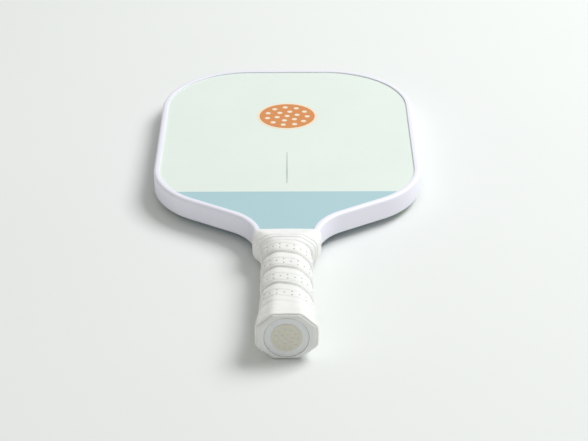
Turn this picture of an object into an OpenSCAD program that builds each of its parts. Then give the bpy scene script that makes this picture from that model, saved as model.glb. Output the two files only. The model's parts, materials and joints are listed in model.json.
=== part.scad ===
// Pickleball paddle: a honeycomb sandwich blade with an edge guard, and a
// wrapped octagonal handle that ends in a flared butt cap.
//
// The paddle is drawn level first. Y = 0 is the face of the butt cap, +Y runs
// to the tip, +X is to the right and Z = 0 is the middle of the core. rest()
// then leans it the small angle at which it lies on a table, with the lowest
// point at Z = 0 and the middle of its length over the origin.

/* [Blade] */
// Length from the face of the butt cap to the tip
paddle_length = 403; // [395:1:415]
// Width of the blade over the edge guard
blade_width = 200; // [190:1:210]
// Radius of the two corners at the tip
tip_corner_r = 70; // [60:1:80]
// Radius of the two corners beside the throat
heel_corner_r = 62; // [55:1:66]
// Distance from the butt face to the centres of the heel corners
heel_corner_y = 224; // [220:1:232]
// Slope of the shoulders, measured from the X axis
shoulder_slope = 32; // [28:1:35]
// Radius of the hollow curve between shoulder and neck
throat_r = 36; // [30:1:40]
// Width of the neck over the edge guard
neck_width = 45.4; // [44:0.2:48]

/* [Sandwich] */
// Thickness of the honeycomb core
core_t = 12.8; // [11:0.1:14]
// Distance across the flats of one honeycomb cell, wall included
cell_pitch = 12; // [10:0.5:16]
// Thickness of the honeycomb's cell walls
cell_wall = 0.5; // [0.4:0.05:1]
// Thickness of the fleece bonded to each side of the core
veil_t = 0.15; // [0.1:0.05:0.3]
// Thickness of each fibreglass skin
skin_t = 0.55; // [0.4:0.05:0.8]
// Thickness of a printed layer
print_t = 0.05; // [0.05:0.01:0.1]

/* [Edge guard] */
// Thickness of the guard's outer wall
guard_wall = 1.5; // [1.2:0.1:2.2]
// Thickness of the guard's lips above the printed face
guard_lip_t = 1; // [0.8:0.1:1.4]
// How far the lips reach over the face from the outer edge
guard_reach = 4.4; // [3.6:0.1:6]
// Radius of the guard's outer corners
guard_round = 2.2; // [1.2:0.1:2.6]
// Distance from the butt face to the cut ends of the guard
guard_end_y = 116; // [114:1:118]

/* [Print] */
// Distance from the butt face to the line between panel and field
panel_end_y = 187.2; // [170:0.2:200]
// Diameter of the roundel
roundel_d = 48.2; // [30:0.2:60]
// Distance from the butt face to the middle of the roundel
roundel_y = 315; // [290:1:330]
// Distance from the butt face to the near end of the pinstripe
stripe_y = 200.2; // [192:0.2:220]
// Length of the pinstripe
stripe_length = 51; // [30:1:60]
// Width of the pinstripe at its widest
stripe_w = 1.3; // [0.8:0.1:2]

/* [Handle] */
// Width of the two handle halves
pallet_w = 31.4; // [29:0.2:33]
// Thickness of the two handle halves together
pallet_t = 25; // [24:0.2:28]
// Width of the core's tongue inside the handle
tongue_w = 24; // [20:0.5:25]
// Thickness of the cushioned grip tape
tape_t = 1.5; // [1.2:0.1:1.8]
// Distance from the butt face to the handle-side edge of the collar
collar_start_y = 106; // [104:1:108]
// Distance from the butt face to the blade-side edge of the collar
collar_end_y = 126; // [122:1:130]

/* [Butt cap] */
// Width of the end plate
plate_w = 38; // [36:0.2:40]
// Thickness of the end plate's octagon, top to bottom
plate_h = 32.4; // [31:0.2:34]
// Thickness of the wall behind the end plate
plate_t = 4; // [3:0.5:6]
// Width of the flare over the grip tape
flare_w = 40.8; // [39.6:0.2:43]
// Diameter of the round badge
badge_d = 29; // [24:0.5:30]

/* [Hidden] */
$fn = 96;

// Height of each layer's outer face above the middle of the core
veil_top = core_t / 2 + veil_t;
skin_top = veil_top + skin_t;
face_top = skin_top + print_t;
guard_top = face_top + guard_lip_t;

// Centres of the outline's arcs on the right half, and the shoulder's normal
tip_c = [blade_width / 2 - tip_corner_r, paddle_length - tip_corner_r];
heel_c = [blade_width / 2 - heel_corner_r, heel_corner_y];
shoulder_n = [sin(shoulder_slope), -cos(shoulder_slope)];
throat_x = neck_width / 2 + throat_r;
throat_c = [throat_x, heel_c.y
    - ((heel_c.x - throat_x) * sin(shoulder_slope) + heel_corner_r + throat_r) / cos(shoulder_slope)];
shoulder_length = norm([heel_c.x - throat_c.x, heel_c.y - throat_c.y])
    * sqrt(1 - pow((heel_corner_r + throat_r) / norm(heel_c - throat_c), 2));

// Facets that round each outer corner of the guard's section, and how the sloped runs join
guard_round_steps = 4;
shoulder_swell = 1.004;
shoulder_lap = 0.5;

// Half sizes of the handle's octagon at a few places along it
plate_half = [plate_w / 2, plate_h / 2];
pallet_half = [pallet_w / 2, pallet_t / 2];
grip_half = [pallet_w / 2 + tape_t, pallet_t / 2 + tape_t];
flare_half = [flare_w / 2, plate_half.y + flare_w / 2 - plate_half.x - 0.4];

// The flare: its brim, where it starts, how sharply it opens and how many steps draw it
tape_end_y = 2.6;
flare_start_y = 44;
flare_power = 1.5;
flare_steps = 6;

// Corner cuts of an octagon as shares of its half width and half height, on the handle,
// at the middle of the collar and at the collar's blade-side edge
handle_cut = [0.54, 0.55];
collar_cut = [0.3, 0.5];
throat_cut = [0.1, 0.25];

// Handle halves: where they start, where the ramp to the blade starts and ends
pallet_start_y = plate_t;
ramp_y = 101;
ramp_end_y = 123;
tape_stop_y = 112;
neck_half = [neck_width / 2 - guard_wall, face_top];

// Collar: its middle, its wall and its half sizes at the near edge, the middle and the far edge
collar_mid_y = guard_end_y;
collar_wall = 1;
collar_near = [20.8, 14.8];
collar_mid = [23.7, 12.4];
collar_far = [24, guard_top + 1.2];

// End plate: bevel around its face and the groove behind its rim
bevel_w = 2.2;
bevel_depth = 0.8;
rim_t = 1.6;
groove_depth = 1.1;
badge_t = 0.8;
badge_recess = 1;

// Roundel: the ball inside its cream ring, and the ball's holes
ball_d = roundel_d - 4.4;
ball_hole_d = 4.2;
ball_ring_r = [0, 8.2, 16];
ball_ring_n = [1, 6, 11];

// The lean at which butt and tip both touch the table, and the lift that goes with it
tip_touch_y = paddle_length - guard_round;
rest_tilt = atan((flare_half.y - guard_top) / (tip_touch_y - tape_end_y));
rest_lift = tape_end_y * sin(rest_tilt) + flare_half.y * cos(rest_tilt);

// How far a cutter passes through a wall, and the overlap that joins stacked solids
cut = 1;
eps = 0.01;

// Places a level shape where the paddle lies at rest
module rest()
    translate([0, -paddle_length * cos(rest_tilt) / 2, rest_lift])
        rotate([-rest_tilt, 0, 0]) children();

// A shape and its mirror image on the left half
module both_sides() {
    children();
    mirror([1, 0, 0]) children();
}

// ---- Outline of the blade ----

// Straight-sided body of the blade's right half in plan, whose chords the corner arcs round off
function half_outline(inset) = [
    [neck_width / 2 - inset, guard_end_y],
    [neck_width / 2 - inset, throat_c.y],
    throat_c,
    throat_c - (throat_r + inset) * shoulder_n,
    heel_c + (heel_corner_r - inset) * shoulder_n,
    [blade_width / 2 - inset, heel_c.y],
    [blade_width / 2 - inset, tip_c.y],
    [tip_c.x, paddle_length - inset]];

// Blade and neck as a flat slab, drawn in by the given distance from the guard's outer edge
module blade_slab(inset, bottom, thickness) {
    right = half_outline(inset);
    left = [for (i = [len(right) - 1 : -1 : 0]) [-right[i].x, right[i].y]];
    translate([0, 0, bottom]) difference() {
        union() {
            linear_extrude(thickness) polygon(concat(right, left));
            both_sides() {
                translate(tip_c) cylinder(r = tip_corner_r - inset, h = thickness);
                translate(heel_c) cylinder(r = heel_corner_r - inset, h = thickness);
            }
        }
        both_sides() translate([throat_c.x, throat_c.y, -cut])
            cylinder(r = throat_r + inset, h = thickness + 2 * cut);
    }
}

// Half of the panel's width at a distance y from the butt face
function panel_half(y, inset) =
    y > tip_c.y ? tip_c.x + sqrt(max(0, pow(tip_corner_r - inset, 2) - pow(y - tip_c.y, 2))) :
    y > heel_c.y ? blade_width / 2 - inset :
    y > heel_c.y + (heel_corner_r - inset) * shoulder_n.y ?
        heel_c.x + sqrt(pow(heel_corner_r - inset, 2) - pow(y - heel_c.y, 2)) :
    y > throat_c.y - (throat_r + inset) * shoulder_n.y ?
        throat_c.x - (throat_r + inset) * shoulder_n.x
            + (y - throat_c.y + (throat_r + inset) * shoulder_n.y) / tan(shoulder_slope) :
    y > throat_c.y ? throat_c.x - sqrt(pow(throat_r + inset, 2) - pow(y - throat_c.y, 2)) :
    y > guard_end_y ? neck_width / 2 - inset : tongue_w / 2;

// ---- Sandwich ----

// A layer of the sandwich between two heights, with the tongue that runs into the handle
module layer(bottom, thickness) {
    blade_slab(guard_wall, bottom, thickness);
    translate([-tongue_w / 2, pallet_start_y + cut, bottom])
        cube([tongue_w, guard_end_y - pallet_start_y, thickness]);
}

// Whether a whole cell at x, y fits inside the panel
function cell_fits(x, y, r) = y + r < paddle_length - guard_wall && y - r > pallet_start_y + cut
    && abs(x) + r < min(panel_half(y - r, guard_wall), panel_half(y + r, guard_wall));

module honeycomb_core() {
    cell_r = cell_pitch / sqrt(3);
    row_step = cell_pitch * sqrt(3) / 2;
    rows = floor(paddle_length / row_step);
    columns = floor(blade_width / 2 / cell_pitch);
    color("whitesmoke") rest() difference() {
        layer(-core_t / 2, core_t);
        for (row = [0 : rows], column = [-columns : columns]) {
            x = (column + (row % 2) / 2) * cell_pitch;
            y = row * row_step;
            if (cell_fits(x, y, cell_r))
                translate([x, y, -core_t]) rotate(30)
                    cylinder(r = cell_r - cell_wall / sqrt(3), h = 2 * core_t, $fn = 6);
        }
    }
}

module front_fleece() color("gainsboro") rest() layer(core_t / 2, veil_t);
module back_fleece() color("gainsboro") rest() layer(-veil_top, veil_t);
module front_skin() color("ivory") rest() layer(veil_top, skin_t);
module back_skin() color("ivory") rest() layer(-skin_top, skin_t);

// ---- Printed layers ----

// Part of the blade's face as a thin layer, between two distances from the butt face
module face_zone(bottom, from_y, to_y) intersection() {
    blade_slab(guard_wall, bottom, print_t);
    translate([-blade_width, from_y, bottom - cut])
        cube([2 * blade_width, to_y - from_y, print_t + 2 * cut]);
}

module front_field_print() color("#e4f2e9") rest() face_zone(skin_top, panel_end_y, paddle_length);
module front_panel_print() color("#b4d4db") rest() face_zone(skin_top, guard_end_y, panel_end_y);
module back_field_print() color("#c9e4cf") rest() face_zone(-face_top, panel_end_y, paddle_length);
module back_panel_print() color("#b4d4db") rest() face_zone(-face_top, guard_end_y, panel_end_y);

// A ball's face with rings of round holes, for the roundel and the badge
module holed_ball(d, scale_down = 1) difference() {
    circle(d = d);
    for (ring = [0 : 2], i = [1 : ball_ring_n[ring]])
        rotate(i * 360 / ball_ring_n[ring] + ring * 15) translate([ball_ring_r[ring] * scale_down, 0])
            circle(d = ball_hole_d * scale_down);
}

module roundel_ground() color("#fbebd5") rest()
    translate([0, roundel_y, face_top]) linear_extrude(print_t) circle(d = roundel_d);
module roundel_ball() color("#e3a06b") rest()
    translate([0, roundel_y, face_top + print_t]) linear_extrude(print_t) holed_ball(ball_d);

module pinstripe() color("#b9c9c1") rest()
    translate([0, stripe_y, face_top]) linear_extrude(print_t)
        polygon([[-stripe_w / 4, 0], [stripe_w / 4, 0], [stripe_w / 2, stripe_length * 0.3],
            [stripe_w / 4, stripe_length], [-stripe_w / 4, stripe_length],
            [-stripe_w / 2, stripe_length * 0.3]]);

// ---- Edge guard ----

// Section of the U-shaped guard: x runs inwards from the outer edge, y is height
module guard_section() {
    lip_bevel = guard_lip_t * 0.3;
    outer = [for (i = [0 : guard_round_steps])
        let (a = 90 * i / guard_round_steps)
            [guard_round * (1 - sin(a)), guard_top - guard_round * (1 - cos(a))]];
    upper = concat(
        [[guard_wall, face_top], [guard_reach, face_top], [guard_reach, guard_top - lip_bevel],
            [guard_reach - lip_bevel, guard_top]], outer);
    lower = [for (i = [len(upper) - 1 : -1 : 0]) [upper[i].x, -upper[i].y]];
    polygon(concat(upper, lower));
}

// The guard around a corner whose centre lies inside the blade
module guard_corner(centre, r, start, sweep) translate(centre)
    rotate_extrude(angle = sweep, start = start)
        translate([r, 0]) mirror([1, 0]) guard_section();

// A straight run of guard from a point of the outer edge, in the direction given. A run can be
// a hair larger than the corners and lap over them, so that a sloped one joins up with them.
module guard_run(point, direction, run, swell = 1, lap = 0) translate(point)
    rotate([90, 0, direction + 90]) translate([(1 - swell) * guard_wall / 2, 0, -lap])
        linear_extrude(run + 2 * lap) scale(swell) guard_section();

module edge_guard() color("#f1f1fb") rest() {
    both_sides() {
        guard_corner(tip_c, tip_corner_r, 0, 90);
        guard_corner(heel_c, heel_corner_r, shoulder_slope - 90, 90 - shoulder_slope);
        translate(throat_c) rotate_extrude(angle = 90 - shoulder_slope, start = 90 + shoulder_slope)
            translate([throat_r, 0]) guard_section();
        guard_run([blade_width / 2, heel_c.y], 90, tip_c.y - heel_c.y);
        guard_run(throat_c - throat_r * shoulder_n, shoulder_slope, shoulder_length,
            shoulder_swell, shoulder_lap);
        guard_run([neck_width / 2, guard_end_y], 90, throat_c.y - guard_end_y);
    }
    guard_run([tip_c.x, paddle_length], 180, 2 * tip_c.x);
}

// ---- Handle ----

// Eight corners of a section with half sizes h and corner cuts c
function octagon_points(h, c) = let (x = h.x * (1 - c.x), y = h.y * (1 - c.y))
    [[h.x, y], [x, h.y], [-x, h.y], [-h.x, y], [-h.x, -y], [-x, -h.y], [x, -h.y], [h.x, -y]];

// One section of a handle piece: distance from the butt face, half sizes and corner cuts
function station(y, h, c = handle_cut) = [y, h, c];

// A solid through a list of stations
module octagon_loft(stations) {
    n = len(stations);
    points = [for (s = stations, p = octagon_points(s[1], s[2])) [p.x, s[0], p.y]];
    sides = [for (k = [0 : n - 2], i = [0 : 7], half = [0, 1])
        let (a = k * 8 + i, b = k * 8 + (i + 1) % 8)
            half == 0 ? [a, b, b + 8] : [a, b + 8, a + 8]];
    near_end = [[for (i = [7 : -1 : 0]) i]];
    far_end = [[for (i = [0 : 7]) (n - 1) * 8 + i]];
    polyhedron(points, concat(near_end, sides, far_end), convexity = 4);
}

// Half sizes grown all round, and half sizes part of the way from one section to another
function grown(h, by) = [h.x + by, h.y + by];
function between(a, b, share) = a + (b - a) * share;

// The ramp from handle to blade, as far as a given distance from the butt face
function ramp_half(y) = between(pallet_half, grown(neck_half, 0.4),
    (y - ramp_y) / (ramp_end_y - ramp_y));

// How far the flare stands out from the grip at a distance y from the butt face
function flare_rise(y) = pow(1 - (y - tape_end_y) / (flare_start_y - tape_end_y), flare_power);
function flare_at(y, drop) = grown(between(grip_half, flare_half, flare_rise(y)), -drop);

// Stations along the flare, drawn in by some thickness
function flare_stations(drop) = [for (i = [0 : flare_steps])
    let (y = between(tape_end_y, flare_start_y, i / flare_steps)) station(y, flare_at(y, drop))];

// The handle half above the middle plane, with a channel for the tongue
module pallet() difference() {
    octagon_loft([station(pallet_start_y, pallet_half), station(ramp_y, pallet_half),
        station(ramp_end_y, ramp_half(ramp_end_y))]);
    translate([-plate_w, 0, -plate_h]) cube([2 * plate_w, paddle_length, plate_h]);
    translate([-tongue_w / 2, 0, -cut]) cube([tongue_w, paddle_length, face_top + cut]);
    translate([-plate_w, guard_end_y, -cut]) cube([2 * plate_w, paddle_length, guard_top + cut]);
}

module front_pallet() color("burlywood") rest() pallet();
module back_pallet() color("burlywood") rest() mirror([0, 0, 1]) pallet();

// ---- Butt cap ----

// End plate with a bevelled rim, a groove behind the rim, a flared skirt and a socket
module butt_cap() color("#dfe2e2") rest() difference() {
    union() {
        octagon_loft([station(0, grown(plate_half, -bevel_w)), station(bevel_depth, plate_half),
            station(rim_t, plate_half)]);
        octagon_loft([station(rim_t - eps, grown(plate_half, -groove_depth)),
            station(tape_end_y + eps, grown(plate_half, -groove_depth))]);
        octagon_loft(flare_stations(tape_t));
    }
    octagon_loft([station(plate_t, pallet_half), station(paddle_length, pallet_half)]);
    translate([0, -cut, 0]) rotate([-90, 0, 0]) cylinder(d = badge_d, h = cut + badge_recess);
}

module badge_disc() color("#c6cacb") rest()
    translate([0, badge_recess - badge_t, 0]) rotate([-90, 0, 0]) cylinder(d = badge_d, h = badge_t);

module badge_print() color("#b8b08f") rest()
    translate([0, badge_recess - badge_t, 0]) rotate([90, 0, 0])
        linear_extrude(print_t) holed_ball(badge_d * 0.7, 0.45);

// ---- Grip ----

module grip_tape() color("#f3f4f1") rest() difference() {
    octagon_loft(concat(flare_stations(0), [station(ramp_y, grip_half),
        station(tape_stop_y, grown(ramp_half(tape_stop_y), tape_t))]));
    octagon_loft(concat([station(0, flare_at(tape_end_y, tape_t))], flare_stations(tape_t),
        [station(ramp_y, pallet_half), station(ramp_end_y, ramp_half(ramp_end_y))]));
}

module collar_band() color("#f5f6f3") rest() difference() {
    octagon_loft([station(collar_start_y, collar_near), station(collar_mid_y, collar_mid, collar_cut),
        station(collar_end_y, collar_far, throat_cut)]);
    octagon_loft([
        station(collar_start_y - cut, grown(ramp_half(collar_start_y - cut), tape_t)),
        station(tape_stop_y, grown(ramp_half(tape_stop_y), tape_t)),
        station(collar_mid_y, grown(collar_mid, -collar_wall), collar_cut),
        station(collar_end_y + cut, [collar_far.x - collar_wall, guard_top], throat_cut)]);
}

honeycomb_core();
front_fleece();
back_fleece();
front_skin();
back_skin();
front_field_print();
front_panel_print();
back_field_print();
back_panel_print();
roundel_ground();
roundel_ball();
pinstripe();
edge_guard();
front_pallet();
back_pallet();
butt_cap();
badge_disc();
badge_print();
grip_tape();
collar_band();
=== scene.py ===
"""Pickleball paddle: the visible pieces and finishes, built around the packed CAD frame.

Every wrapped or moulded piece is modelled level, with the butt face at y 0, the tip
towards +Y and the middle of the core at z 0, and lay_down() then leans it to where
the paddle rests. Lengths are in metres.
"""

import json
import math

import bpy
import numpy as np
from mathutils import Matrix, Vector, noise


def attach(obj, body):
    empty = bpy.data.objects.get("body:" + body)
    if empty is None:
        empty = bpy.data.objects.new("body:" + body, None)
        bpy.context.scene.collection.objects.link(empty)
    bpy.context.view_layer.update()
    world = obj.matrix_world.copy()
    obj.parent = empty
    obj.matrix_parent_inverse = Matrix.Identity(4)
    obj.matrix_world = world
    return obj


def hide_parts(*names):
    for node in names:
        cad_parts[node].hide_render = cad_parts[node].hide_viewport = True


bl_info = {
    "name": "Pickleball Paddle",
    "version": (1, 0, 0),
    "blender": (4, 5, 0),
    "location": "3D View > Sidebar > Paddle",
    "description": "Builds the paddle's wrap, collar, guard and finishes around its CAD frame",
    "category": "Object",
}

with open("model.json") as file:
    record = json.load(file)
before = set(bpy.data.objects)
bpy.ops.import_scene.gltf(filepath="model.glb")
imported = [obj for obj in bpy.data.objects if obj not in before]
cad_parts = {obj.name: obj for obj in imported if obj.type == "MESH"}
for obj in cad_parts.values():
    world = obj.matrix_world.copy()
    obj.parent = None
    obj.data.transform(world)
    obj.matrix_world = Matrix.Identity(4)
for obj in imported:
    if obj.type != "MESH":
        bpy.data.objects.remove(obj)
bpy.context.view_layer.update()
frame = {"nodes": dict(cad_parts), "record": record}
NODES = frame["nodes"]
MM = 0.001


def rest_matrix():
    """Matrix from the level paddle to where it rests, read from the record's mounts."""
    mounts = {m["name"]: m for m in frame["record"]["mounts"]}
    normal = Vector(mounts["front_face"]["axis"])
    lean = math.atan2(normal.y, normal.z)
    butt = Vector(mounts["butt_end"]["pos_m"])
    return Matrix.Translation((0, butt.y, butt.z)) @ Matrix.Rotation(-lean, 4, "X")


REST = rest_matrix()


def level_box(node):
    """Lowest and highest corner of a CAD node in the level frame."""
    back = REST.inverted()
    points = np.array([back @ v.co for v in NODES[node].data.vertices])
    return points.min(0), points.max(0)


GUARD_LOW, GUARD_HIGH = level_box("edge_guard")
FACE_TOP = float(level_box("front_field_print")[1][2])
CAP_LOW, CAP_HIGH = level_box("butt_cap")
BADGE_LOW, BADGE_HIGH = level_box("badge_disc")


# ---- Sizes and colours that a user would change ----

def colour(name, description, value):
    """A colour setting."""
    return bpy.props.FloatVectorProperty(
        name=name, description=description, default=value, size=3,
        min=0, max=1, subtype="COLOR")


def length(name, description, value):
    """A length setting in metres."""
    return bpy.props.FloatProperty(
        name=name, description=description, default=value, min=0,
        precision=5, unit="LENGTH")


class PaddleFaceSettings(bpy.types.PropertyGroup):
    """Inks of the two faces."""
    field: colour("Field", "Pale field of the front face", (0.79, 0.868, 0.805))
    panel: colour("Panel", "Panel at the throat", (0.43, 0.63, 0.675))
    back_field: colour("Back field", "Field of the back face", (0.36, 0.66, 0.28))
    cream: colour("Cream", "Ground of the roundel", (0.93, 0.79, 0.61))
    orange: colour("Orange", "Ball of the roundel", (0.7, 0.28, 0.095))
    stripe: colour("Stripe", "Thin line under the roundel", (0.5, 0.6, 0.54))


class PaddleGuardSettings(bpy.types.PropertyGroup):
    """Size and plastic of the edge guard."""
    wall: length("Wall", "Thickness of the outer wall", 0.0015)
    reach: length("Reach", "How far the lips reach over the face", 0.0044)
    corner: length("Corner", "Radius of the outer corners", 0.0022)
    edge: length("Edge", "Radius of the lips' small edges", 0.0003)
    plastic: colour("Plastic", "Colour of the moulding", (0.9, 0.89, 1.0))


class PaddleGripSettings(bpy.types.PropertyGroup):
    """Size and look of the spiral wrap."""
    thickness: length("Thickness", "Thickness of the tape", 0.0014)
    step: length("Step", "How far each turn stands over the next one", 0.0012)
    band_start: length("Band start", "From a seam to the first embossed line", 0.0098)
    band_width: length("Band width", "Width of the punched band", 0.0087)
    hole_pitch: length("Hole pitch", "Distance between like holes along the tape", 0.0094)
    hole: length("Hole", "Radius of a punched hole", 0.0006)
    tape: colour("Tape", "Colour of the tape", (0.9, 0.9, 0.875))


class PaddleCollarSettings(bpy.types.PropertyGroup):
    """Size and look of the collar's stretch tape."""
    thickness: length("Thickness", "Thickness of one layer", 0.0007)
    tape: colour("Tape", "Colour of the stretch tape", (0.93, 0.93, 0.91))


class PaddleCapSettings(bpy.types.PropertyGroup):
    """Look of the butt cap and its badge."""
    edge: length("Edge", "Radius of the cap's softened edges", 0.0003)
    moulding: colour("Moulding", "Colour of the cap", (0.8, 0.81, 0.79))
    badge: colour("Badge", "Colour of the round badge", (0.76, 0.78, 0.78))
    ink: colour("Ink", "Colour of the badge's print", (0.69, 0.67, 0.56))


class PaddleStageSettings(bpy.types.PropertyGroup):
    """Floor and lights."""
    floor: colour("Floor", "Colour of the floor", (0.82, 0.84, 0.825))
    key: bpy.props.FloatProperty(
        name="Key", description="Power of the large soft light", default=72, min=0, unit="POWER")
    world: bpy.props.FloatProperty(
        name="World", description="Strength of the even light from all round", default=0.385,
        min=0)


GROUPS = {
    "paddle_face": PaddleFaceSettings,
    "paddle_guard": PaddleGuardSettings,
    "paddle_grip": PaddleGripSettings,
    "paddle_collar": PaddleCollarSettings,
    "paddle_cap": PaddleCapSettings,
    "paddle_stage": PaddleStageSettings,
}


# ---- Modelling helpers ----

def deselect_all():
    """Leaves nothing selected and no object in edit mode."""
    if bpy.context.object and bpy.context.object.mode != "OBJECT":
        bpy.ops.object.mode_set(mode="OBJECT")
    bpy.ops.object.select_all(action="DESELECT")


def select_only(piece):
    """Makes one object the selected and active one."""
    deselect_all()
    piece.select_set(True)
    bpy.context.view_layer.objects.active = piece


def lay_down(piece):
    """Leans a finished level piece to where the paddle rests, in its mesh."""
    select_only(piece)
    piece.matrix_world = REST @ piece.matrix_world
    bpy.ops.object.transform_apply(location=True, rotation=True, scale=True)


def tidy_mesh(piece):
    """Merges double vertices and points the faces outwards."""
    select_only(piece)
    bpy.ops.object.mode_set(mode="EDIT")
    bpy.ops.mesh.select_all(action="SELECT")
    bpy.ops.mesh.remove_doubles(threshold=1e-6)
    bpy.ops.mesh.normals_make_consistent(inside=False)
    bpy.ops.object.mode_set(mode="OBJECT")


def add_bevel(piece, width, segments, degrees):
    """Rounds the edges of a piece that turn more sharply than that."""
    select_only(piece)
    bevel = piece.modifiers.new("Edges", "BEVEL")
    bevel.width = width
    bevel.segments = segments
    bevel.limit_method = "ANGLE"
    bevel.angle_limit = math.radians(degrees)
    bpy.ops.object.modifier_apply(modifier=bevel.name)


def finish_piece(piece, degrees, material, slot, *stands_for):
    """Smooths edges flatter than the angle, lays a piece down, paints it and hangs it on."""
    select_only(piece)
    bpy.ops.object.shade_smooth_by_angle(angle=math.radians(degrees))
    lay_down(piece)
    piece.data.materials.clear()
    piece.data.materials.append(material)
    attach(piece, "root")
    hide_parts(*stands_for)


def paint_node(node, material):
    """Gives a CAD node its finish."""
    NODES[node].data.materials.clear()
    NODES[node].data.materials.append(material)


# ---- Shader helpers ----

def link(tree, source, target):
    """Joins two sockets."""
    tree.links.new(source, target)


def feed(tree, socket, value):
    """Gives a socket a number, a vector, a colour or another socket."""
    if isinstance(value, bpy.types.NodeSocket):
        link(tree, value, socket)
    elif socket.type == "RGBA":
        socket.default_value = (*value[:3], 1)
    else:
        socket.default_value = value


def math_node(tree, operation, *values):
    """A Math node fed by numbers or sockets. Returns its output."""
    node = tree.nodes.new("ShaderNodeMath")
    node.operation = operation
    for socket, value in zip(node.inputs, values):
        feed(tree, socket, value)
    return node.outputs[0]


def times(tree, a, b):
    """The product of two numbers or sockets."""
    return math_node(tree, "MULTIPLY", a, b)


def plus(tree, a, b):
    """The sum of two numbers or sockets."""
    return math_node(tree, "ADD", a, b)


def vector_node(tree, operation, *values, out="Vector"):
    """A Vector Math node fed by vectors or sockets. Returns its output."""
    node = tree.nodes.new("ShaderNodeVectorMath")
    node.operation = operation
    for socket, value in zip(node.inputs, values):
        feed(tree, socket, value)
    return node.outputs[out]


def noise_node(tree, vector, scale, detail=3.0, roughness=0.55):
    """Noise over a vector, in waves per metre. Returns its value."""
    node = tree.nodes.new("ShaderNodeTexNoise")
    for label, value in (("Vector", vector), ("Scale", scale), ("Detail", detail),
                         ("Roughness", roughness)):
        feed(tree, node.inputs[label], value)
    return node.outputs["Fac"]


def mix_colour(tree, factor, a, b):
    """Mixes two colours, each a tuple or a socket. Returns the colour."""
    node = tree.nodes.new("ShaderNodeMix")
    node.data_type = "RGBA"
    for index, value in ((0, factor), (6, a), (7, b)):
        feed(tree, node.inputs[index], value)
    return node.outputs[2]


def ramp(tree, value, low, high, bottom=0.0, top=1.0):
    """Maps a value's range to another, clamped."""
    node = tree.nodes.new("ShaderNodeMapRange")
    for socket, given in zip(node.inputs, (value, low, high, bottom, top)):
        feed(tree, socket, given)
    return node.outputs["Result"]


def new_group(name, inputs, outputs):
    """An empty shader group. inputs maps a name to a default, or to None for a vector."""
    tree = bpy.data.node_groups.new(name, "ShaderNodeTree")
    for label, value in inputs.items():
        kind = "NodeSocketVector" if value is None else "NodeSocketFloat"
        socket = tree.interface.new_socket(label, in_out="INPUT", socket_type=kind)
        if value is not None:
            socket.default_value = value
    for label in outputs:
        tree.interface.new_socket(label, in_out="OUTPUT", socket_type="NodeSocketFloat")
    return tree, tree.nodes.new("NodeGroupInput"), tree.nodes.new("NodeGroupOutput")


def fine_grain_group():
    """Moulded or sprayed grain: small bumps, and slow mottling of tone."""
    tree, inside, out = new_group(
        "Fine grain", {"Vector": None, "Grain": 2500.0, "Mottle": 40.0}, ["Height", "Mottle"])
    vector, grain, patch = (inside.outputs[label] for label in ("Vector", "Grain", "Mottle"))
    link(tree, noise_node(tree, vector, grain, 4.0, 0.6), out.inputs["Height"])
    link(tree, noise_node(tree, vector, patch, 3.0, 0.6), out.inputs["Mottle"])
    return tree


def scuff_group():
    """Faint handling marks: thin stretched scratches broken up by a patchy mask."""
    tree, inside, out = new_group("Scuffs", {"Vector": None, "Density": 0.5}, ["Mask"])
    stretched = vector_node(tree, "MULTIPLY", inside.outputs["Vector"], (900.0, 60.0, 300.0))
    lines = noise_node(tree, stretched, 1.0, 2.0)
    patches = noise_node(tree, inside.outputs["Vector"], 45.0, 2.0)
    marks = times(tree, ramp(tree, lines, 0.66, 0.74), ramp(tree, patches, 0.5, 0.68))
    link(tree, times(tree, marks, inside.outputs["Density"]), out.inputs["Mask"])
    return tree


def honeycomb_group():
    """Distance from the middle of a hexagonal cell, 0 in the middle and 1 at its wall."""
    tree, inside, out = new_group("Honeycomb", {"Vector": None, "Cell": 0.008}, ["Edge"])
    scaled = vector_node(tree, "DIVIDE", inside.outputs["Vector"], inside.outputs["Cell"])
    reach = math.sqrt(3) / 2
    lattices = []
    for shift in ((0.0, 0.0, 0.0), (0.5, reach, 0.0)):
        moved = vector_node(tree, "ADD", scaled, shift)
        wrapped = vector_node(tree, "WRAP", moved, (0.5, reach, 0.5), (-0.5, -reach, -0.5))
        flat = vector_node(tree, "MULTIPLY", vector_node(tree, "ABSOLUTE", wrapped), (1, 1, 0))
        lattices.append((flat, vector_node(tree, "LENGTH", flat, out="Value")))
    (a, length_a), (b, length_b) = lattices
    nearer = math_node(tree, "LESS_THAN", length_a, length_b)
    pick = tree.nodes.new("ShaderNodeMix")
    pick.data_type = "VECTOR"
    link(tree, nearer, pick.inputs[0])
    link(tree, b, pick.inputs[4])
    link(tree, a, pick.inputs[5])
    cell = pick.outputs[1]
    side = vector_node(tree, "DOT_PRODUCT", cell, (1.0, 0.0, 0.0), out="Value")
    slant = vector_node(tree, "DOT_PRODUCT", cell, (0.5, reach, 0.0), out="Value")
    link(tree, times(tree, math_node(tree, "MAXIMUM", side, slant), 2.0), out.inputs["Edge"])
    return tree


def weave_group():
    """Plain weave seen from above: 1 on top of a strand, 0 between strands."""
    tree, inside, out = new_group("Weave", {"Vector": None, "Strand": 0.0008}, ["Height"])
    parts = tree.nodes.new("ShaderNodeSeparateXYZ")
    link(tree, inside.outputs["Vector"], parts.inputs[0])
    turn = math_node(tree, "DIVIDE", math.pi, inside.outputs["Strand"])
    waves = [math_node(tree, "SINE", times(tree, parts.outputs[i], turn)) for i in (0, 1)]
    link(tree, ramp(tree, times(tree, *waves), -1.0, 1.0), out.inputs["Height"])
    return tree


EFFECTS = {
    "Fine grain": fine_grain_group,
    "Scuffs": scuff_group,
    "Honeycomb": honeycomb_group,
    "Weave": weave_group,
}


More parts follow.
